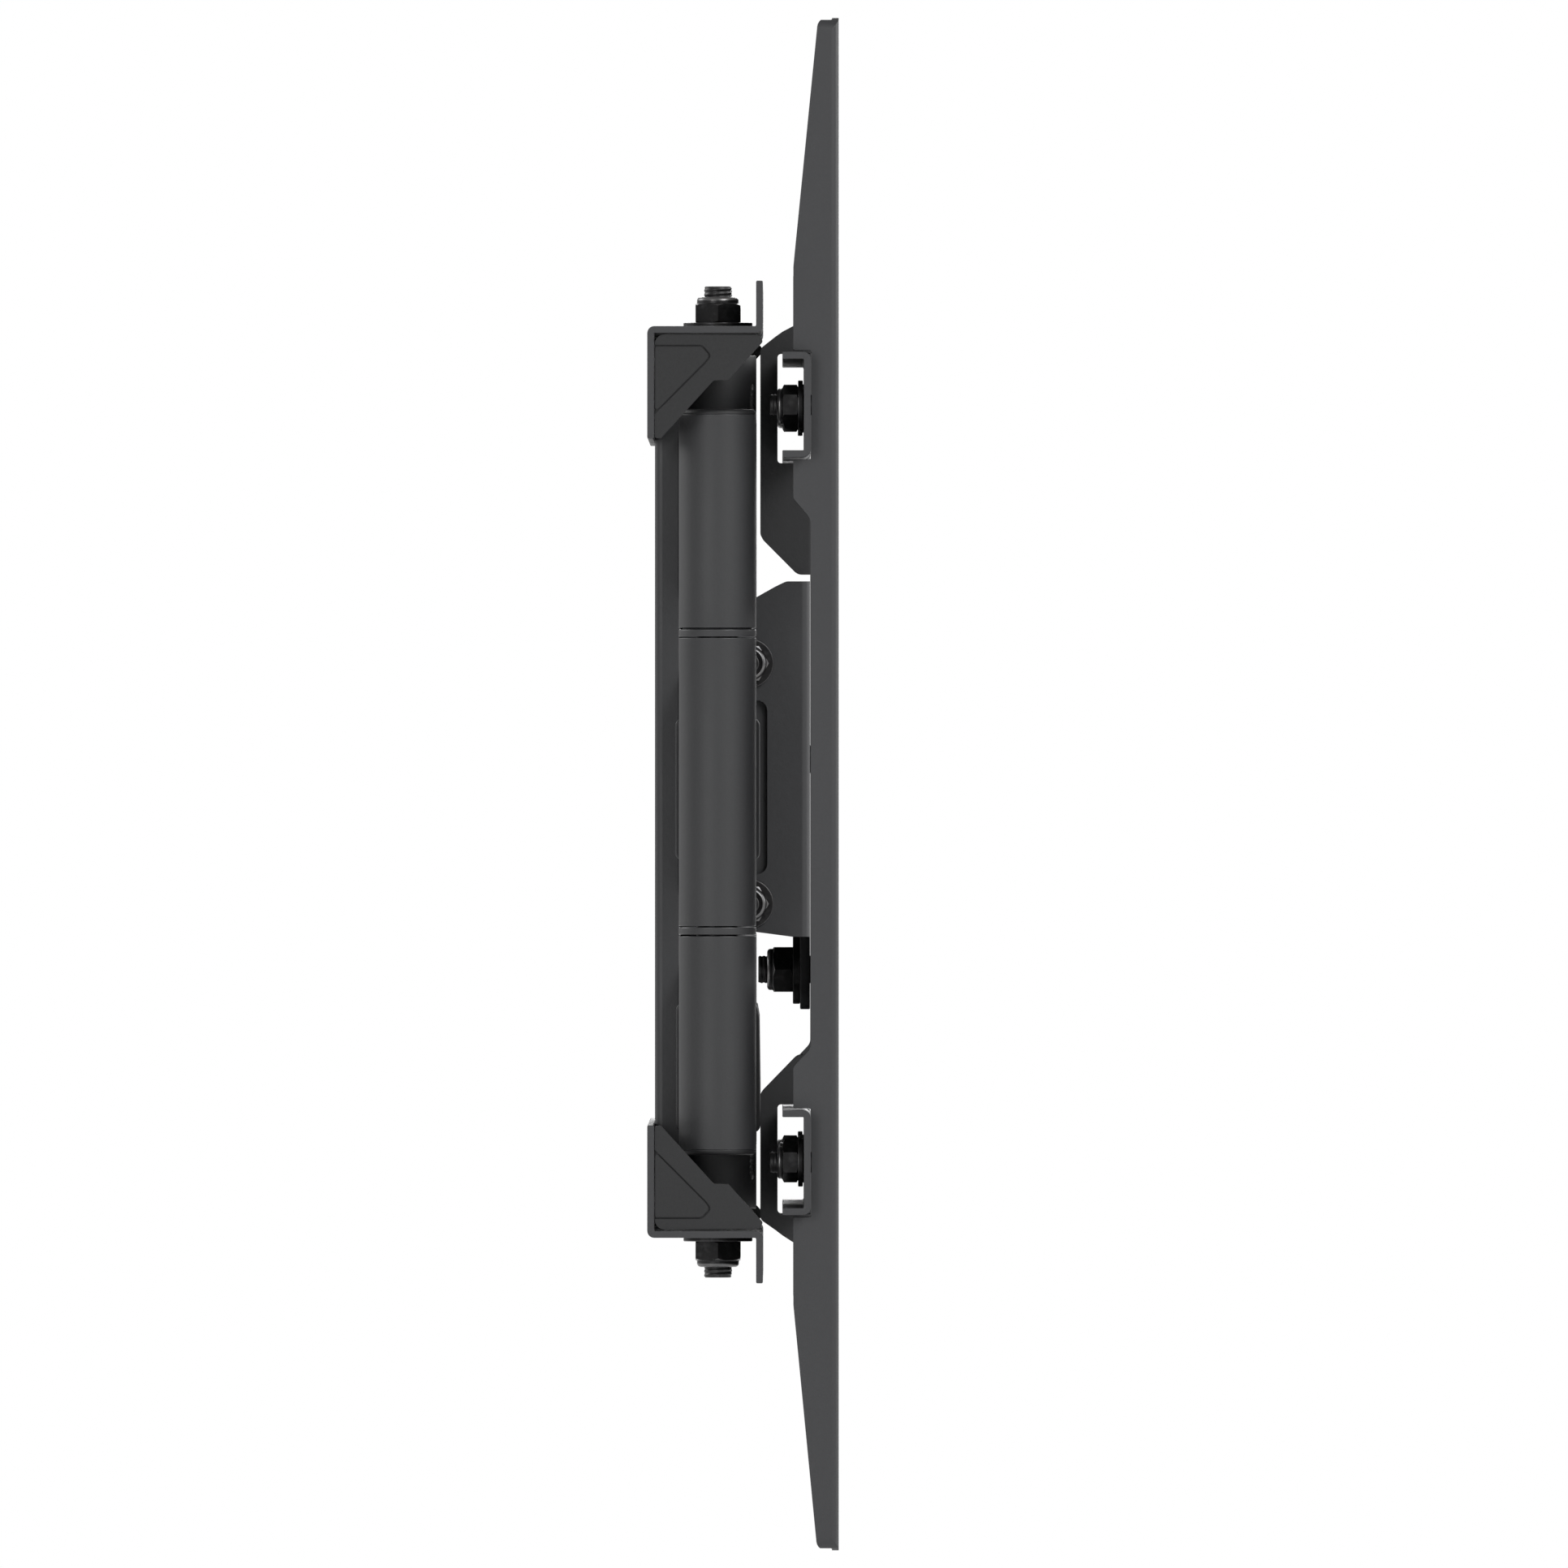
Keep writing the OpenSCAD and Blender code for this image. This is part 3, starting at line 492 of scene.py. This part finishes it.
# ------------------------------------------------------------------ painted steel and plastic
for n in ("top_rail", "bottom_rail"):
    softened(n, PAINT, 0.30, 2)
for n in ("left_post", "right_post"):
    softened(n, PAINT, 0.25, 2)
softened("wall_pivot_ears", PAINT, 0.25, 2)
for n in ("left_end_caps", "right_end_caps"):
    softened(n, PLASTIC, 0.28, 3, 24.0)
for sd in ("left", "right"):
    for n in ("upper_arm", "lower_arm", "outer_arm"):
        softened(f"{sd}_{n}", PAINT_ARM, 0.9, 3)
    for n in ("inner_barrels", "outer_barrels"):
        softened(f"{sd}_{n}", PAINT_ARM, 0.22, 2)
    softened(f"{sd}_elbow_caps", PLASTIC, 0.15, 2)
    softened(f"{sd}_elbow_spacers", PAINT_ARM, 0.3, 2)
    for n in ("lower_cable_clip", "outer_cable_clip"):
        softened(f"{sd}_{n}", CLIP, 0.35, 3, 24.0)
    softened(f"{sd}_tv_bracket", PAINT, 0.28, 2)
    softened(f"{sd}_bracket_tabs", PAINT_DARK, 0.2, 1)
    softened(f"{sd}_bracket_washers", ZINC_FLAT, 0.22, 2)
softened("bridge_ear_plates", PAINT, 0.25, 2)
softened("bridge_channel", PAINT, 0.25, 2)
softened("bridge_pivot_pins", ZINC, 0.5, 2)
softened("tilt_yoke", PAINT, 0.28, 2)
softened("level_tongue", PAINT, 0.28, 2)
softened("centre_plate", PAINT_DARK, 0.26, 2)
softened("upper_tv_channel", PAINT, 0.24, 2)
softened("lower_tv_channel", PAINT, 0.24, 2)
for n in ("wall_pivot_washers", "tilt_washers", "level_washers", "centre_plate_washers"):
    softened(n, ZINC_FLAT, 0.3, 2)
softened("wall_pivot_bushes", BUSH, 0.4, 2)
for sd in ("left", "right"):
    softened(f"{sd}_elbow_pin", ZINC, 0.3, 2)
    softened(f"{sd}_elbow_nut", ZINC, 0.3, 2)

# ------------------------------------------------------------------ fasteners
# index 3 is the light edge zinc: rubbed wear together with a painted highlight
MATS = [ZINC, NYLON, THREAD, RIM_WEAR_AND_HIGHLIGHT]


def group(name, body, nodes, build):
    sh = Shell()
    build(sh)
    o = sh.piece(name, MATS, body)
    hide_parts(*nodes)
    return o


def pivots():
    for sx in (-1, 1):
        yield sx, "up", 1
        yield sx, "down", -1


def wall_nuts(sh):
    for sx, way, sz in pivots():
        lock_nut(sh, placed(way, sx * PIVOT_X, PIVOT_D, sz * (RAIL_Z + 2.1)), 13, 5.4, 4.0, 6.05, 2.0)


def wall_bolts(sh):
    for sx, way, sz in pivots():
        thread(sh, placed(way, sx * PIVOT_X, PIVOT_D, 0), 4.0, 1.25, 129.5, 143.4, 41.85, 44, 2)


group("wall_lock_nuts", "wall_plate", ["wall_pivot_nuts"], wall_nuts)
group("wall_threaded_bolts", "wall_plate", ["wall_pivot_bolts"], wall_bolts)

TILT_Z = (-35.3, 34.4)
HALF = 66.4 / 2 + 2.1


def tilt_nuts(sh):
    for z in TILT_Z:
        lock_nut(sh, placed("left", -HALF - 1.5, 29.13, z), 10, 4.6, 3.0, 4.7, 1.3, 90)


def tilt_bolts(sh):
    for z in TILT_Z:
        thread(sh, placed("left", 0, 29.13, z), 3.0, 1.0, 30.0, 43.4, -HALF - 1.5, 40, 2)
        hex_head(sh, placed("right", HALF + 1.5, 29.13, z), 10, 4.0, 90)


group("tilt_lock_nuts", "tilt_head", ["tilt_nuts"], tilt_nuts)
group("tilt_threaded_bolts", "tilt_head", ["tilt_bolts"], tilt_bolts)

LEVEL = ((43.93, -54.4, 31.8), (44.7, 6.6, 32.6))


def level_nuts(sh):
    for d, z, _ in LEVEL:
        lock_nut(sh, placed("in", 0, d - 2.1, z), 13, 5.6, 4.0, 6.0, 1.85)


def level_bolts(sh):
    for d, z, tip in LEVEL:
        thread(sh, placed("in", 0, 0, z), 4.0, 1.25, -43.5, -tip, -49.2, 44, 2)
        dome(sh, placed("out", 0, 49.1, z), [(8.6, 0.0), (9.0, 0.12), (9.0, 1.1), (8.7, 1.5), (7.9, 1.95), (6.6, 2.4), (5.2, 2.68), (3.4, 2.79), (1.6, 2.8)])


group("level_lock_nuts", "tilt_head", ["level_nuts"], level_nuts)
group("level_threaded_bolts", "tilt_head", ["level_bolts"], level_bolts)

ROWS = (108.4, -109.3)
BUTTON = [(6.1, 0.0), (6.4, 0.1), (6.4, 0.8), (6.1, 1.2), (5.3, 1.75), (4.2, 2.2), (2.9, 2.44), (1.4, 2.5)]


def small_nuts(xs, d):
    def build(sh):
        for x in xs:
            for z in ROWS:
                lock_nut(sh, placed("in", x, d, z), 10, 4.4, 3.0, 4.7, 1.55, 90)
    return build


def small_bolts(xs, tip):
    def build(sh):
        for x in xs:
            for z in ROWS:
                thread(sh, placed("in", x, 0, z), 3.0, 1.0, -42.5, -tip, -48.9, 36, 2)
                dome(sh, placed("out", x, 48.8, z), BUTTON)
    return build


group("centre_lock_nuts", "screen_plate", ["centre_plate_nuts"], small_nuts((-16, 16), 43.61))
group("centre_threaded_bolts", "screen_plate", ["centre_plate_bolts"], small_bolts((-16, 16), 37.2))
for sd, sx in (("left", -1), ("right", 1)):
    group(f"{sd}_bracket_lock_nuts", f"{sd}_screen_bracket", [f"{sd}_bracket_nuts"], small_nuts((sx * 200,), 43.3))
    group(f"{sd}_bracket_threaded_bolts", f"{sd}_screen_bracket", [f"{sd}_bracket_bolts"], small_bolts((sx * 200,), 35.1))


# ------------------------------------------------------------------ welds
def welds(name, body, runs):
    sh = Shell()
    for pts, r in runs:
        bead(sh, pts, r)
    return sh.piece(name, [WELD], body, 60.0)


for sd, sx in (("left", -1), ("right", 1)):
    inner, outer = [], []
    for sz in (-1, 1):
        for dd in (-10.0, 10.0):
            y = -(PIVOT_D + dd * 0.965)
            for x, lo, hi in ((PIVOT_X + 5.1, 53, 115), (ELBOW_X - 5.1, 53, 99)):
                inner.append(([(sx * x, y, sz * lo), (sx * x, y, sz * hi)], 1.15))
    for dd in (-10.0, 10.0):
        y = -(PIVOT_D + dd * 0.965)
        outer.append(([(sx * (PIVOT_X + 5.1), y, -31.5), (sx * (PIVOT_X + 5.1), y, 31.5)], 1.15))
        outer.append(([(sx * (ELBOW_X - 5.1), y, -35.5), (sx * (ELBOW_X - 5.1), y, 35.5)], 1.15))
    welds(f"{sd}_inner_arm_welds", f"{sd}_inner_arms", inner)
    welds(f"{sd}_outer_arm_welds", f"{sd}_outer_arms", outer)

runs = []
for sx in (-1, 1):
    for sz in (-1, 1):
        for x in (PIVOT_X - 20.1, PIVOT_X + 20.1):
            runs.append(([(sx * x, -2.3, sz * 100.5), (sx * x, -2.3, sz * 126.5)], 1.1))
        runs.append(([(sx * (PIVOT_X - 17.5), -4.4, sz * 44.0), (sx * (PIVOT_X + 17.5), -4.4, sz * 44.0)], 0.9))
welds("wall_plate_welds", "wall_plate", runs)
runs = []
for sx in (-1, 1):
    for sz in (-1, 1):
        runs.append(([(sx * 33.0, -13.6, sz * 38.7), (sx * 33.0, -19.2, sz * 38.7)], 0.8))
        runs.append(([(sx * 26.0, -11.0, sz * 38.6), (sx * 8.0, -11.0, sz * 38.6)], 0.8))
welds("bridge_welds", "bridge", runs)
welds("tongue_welds", "tilt_head", [([(sx * 11.6, -44.5, -43.5), (sx * 11.6, -44.5, -26.5)], 0.8) for sx in (-1, 1)])


# ------------------------------------------------------------------ floor, light, camera
def plain(name, col, rough):
    m = Nodes(name)
    n = m.noise(3.0, 3.0)
    m.link(m.mix(m.span(n, 0.3, 0.7, 0.0, 1.0), tuple(c * 0.985 for c in col), col), m.bsdf.inputs["Base Color"])
    m.link(m.span(n, 0.3, 0.7, rough - 0.03, rough + 0.03), m.bsdf.inputs["Roughness"])
    return m.mat


fm = bpy.data.meshes.new("floor")
S, FZ = 4.0, -0.30
fm.from_pydata([(-S, -S, FZ), (S, -S, FZ), (S, S, FZ), (-S, S, FZ)], [], [(0, 1, 2, 3)])
fm.materials.append(plain("pale_floor", (0.86, 0.86, 0.86), 0.8))
floor = bpy.data.objects.new("floor", fm)
bpy.context.scene.collection.objects.link(floor)

world = bpy.data.worlds.new("studio")
bpy.context.scene.world = world
world.use_nodes = True
wt = world.node_tree
wt.nodes.clear()
wo = wt.nodes.new("ShaderNodeOutputWorld")
seen = wt.nodes.new("ShaderNodeBackground")
seen.inputs["Color"].default_value = (1, 1, 1, 1)
seen.inputs["Strength"].default_value = 1.0
light = wt.nodes.new("ShaderNodeBackground")
light.inputs["Color"].default_value = (1, 1, 1, 1)
light.inputs["Strength"].default_value = 0.42
path = wt.nodes.new("ShaderNodeLightPath")
mixed = wt.nodes.new("ShaderNodeMixShader")
wt.links.new(path.outputs["Is Camera Ray"], mixed.inputs[0])
wt.links.new(light.outputs[0], mixed.inputs[1])
wt.links.new(seen.outputs[0], mixed.inputs[2])
wt.links.new(mixed.outputs[0], wo.inputs["Surface"])


def area(name, loc, size, power, aim=(0, -0.03, 0)):
    d = bpy.data.lights.new(name, "AREA")
    d.shape = "RECTANGLE"
    d.size, d.size_y = size
    d.energy = power
    o = bpy.data.objects.new(name, d)
    o.location = loc
    o.rotation_euler = (Vector(aim) - Vector(loc)).to_track_quat("-Z", "Y").to_euler()
    bpy.context.scene.collection.objects.link(o)
    return o


area("key", (-2.2, -1.6, 1.6), (1.6, 1.6), 62)
area("side", (-2.6, 1.3, 0.4), (0.9, 1.8), 26)
area("front", (0.8, -2.6, 0.9), (1.8, 1.4), 42)
area("back", (1.2, 2.4, 1.2), (1.8, 1.4), 36)
area("far", (2.6, -0.4, 0.8), (1.4, 1.4), 30)

cam_data = bpy.data.cameras.new("camera")
cam_data.type = "PERSP"
cam_data.sensor_fit = "HORIZONTAL"
cam_data.sensor_width = 36.0
cam_data.lens = 1600.0
cam_data.clip_start = 0.1
cam_data.clip_end = 100.0
cam = bpy.data.objects.new("camera", cam_data)
span = 1932 * 0.23305 * MM
reach = span * cam_data.lens / cam_data.sensor_width
cam.location = (-0.215 - reach, -0.03927, -0.00058)
cam.rotation_euler = (math.pi / 2, 0, -math.pi / 2)
bpy.context.scene.collection.objects.link(cam)
bpy.context.scene.camera = cam
bpy.context.scene.view_settings.view_transform = "Standard"
bpy.context.scene.view_settings.look = "None"
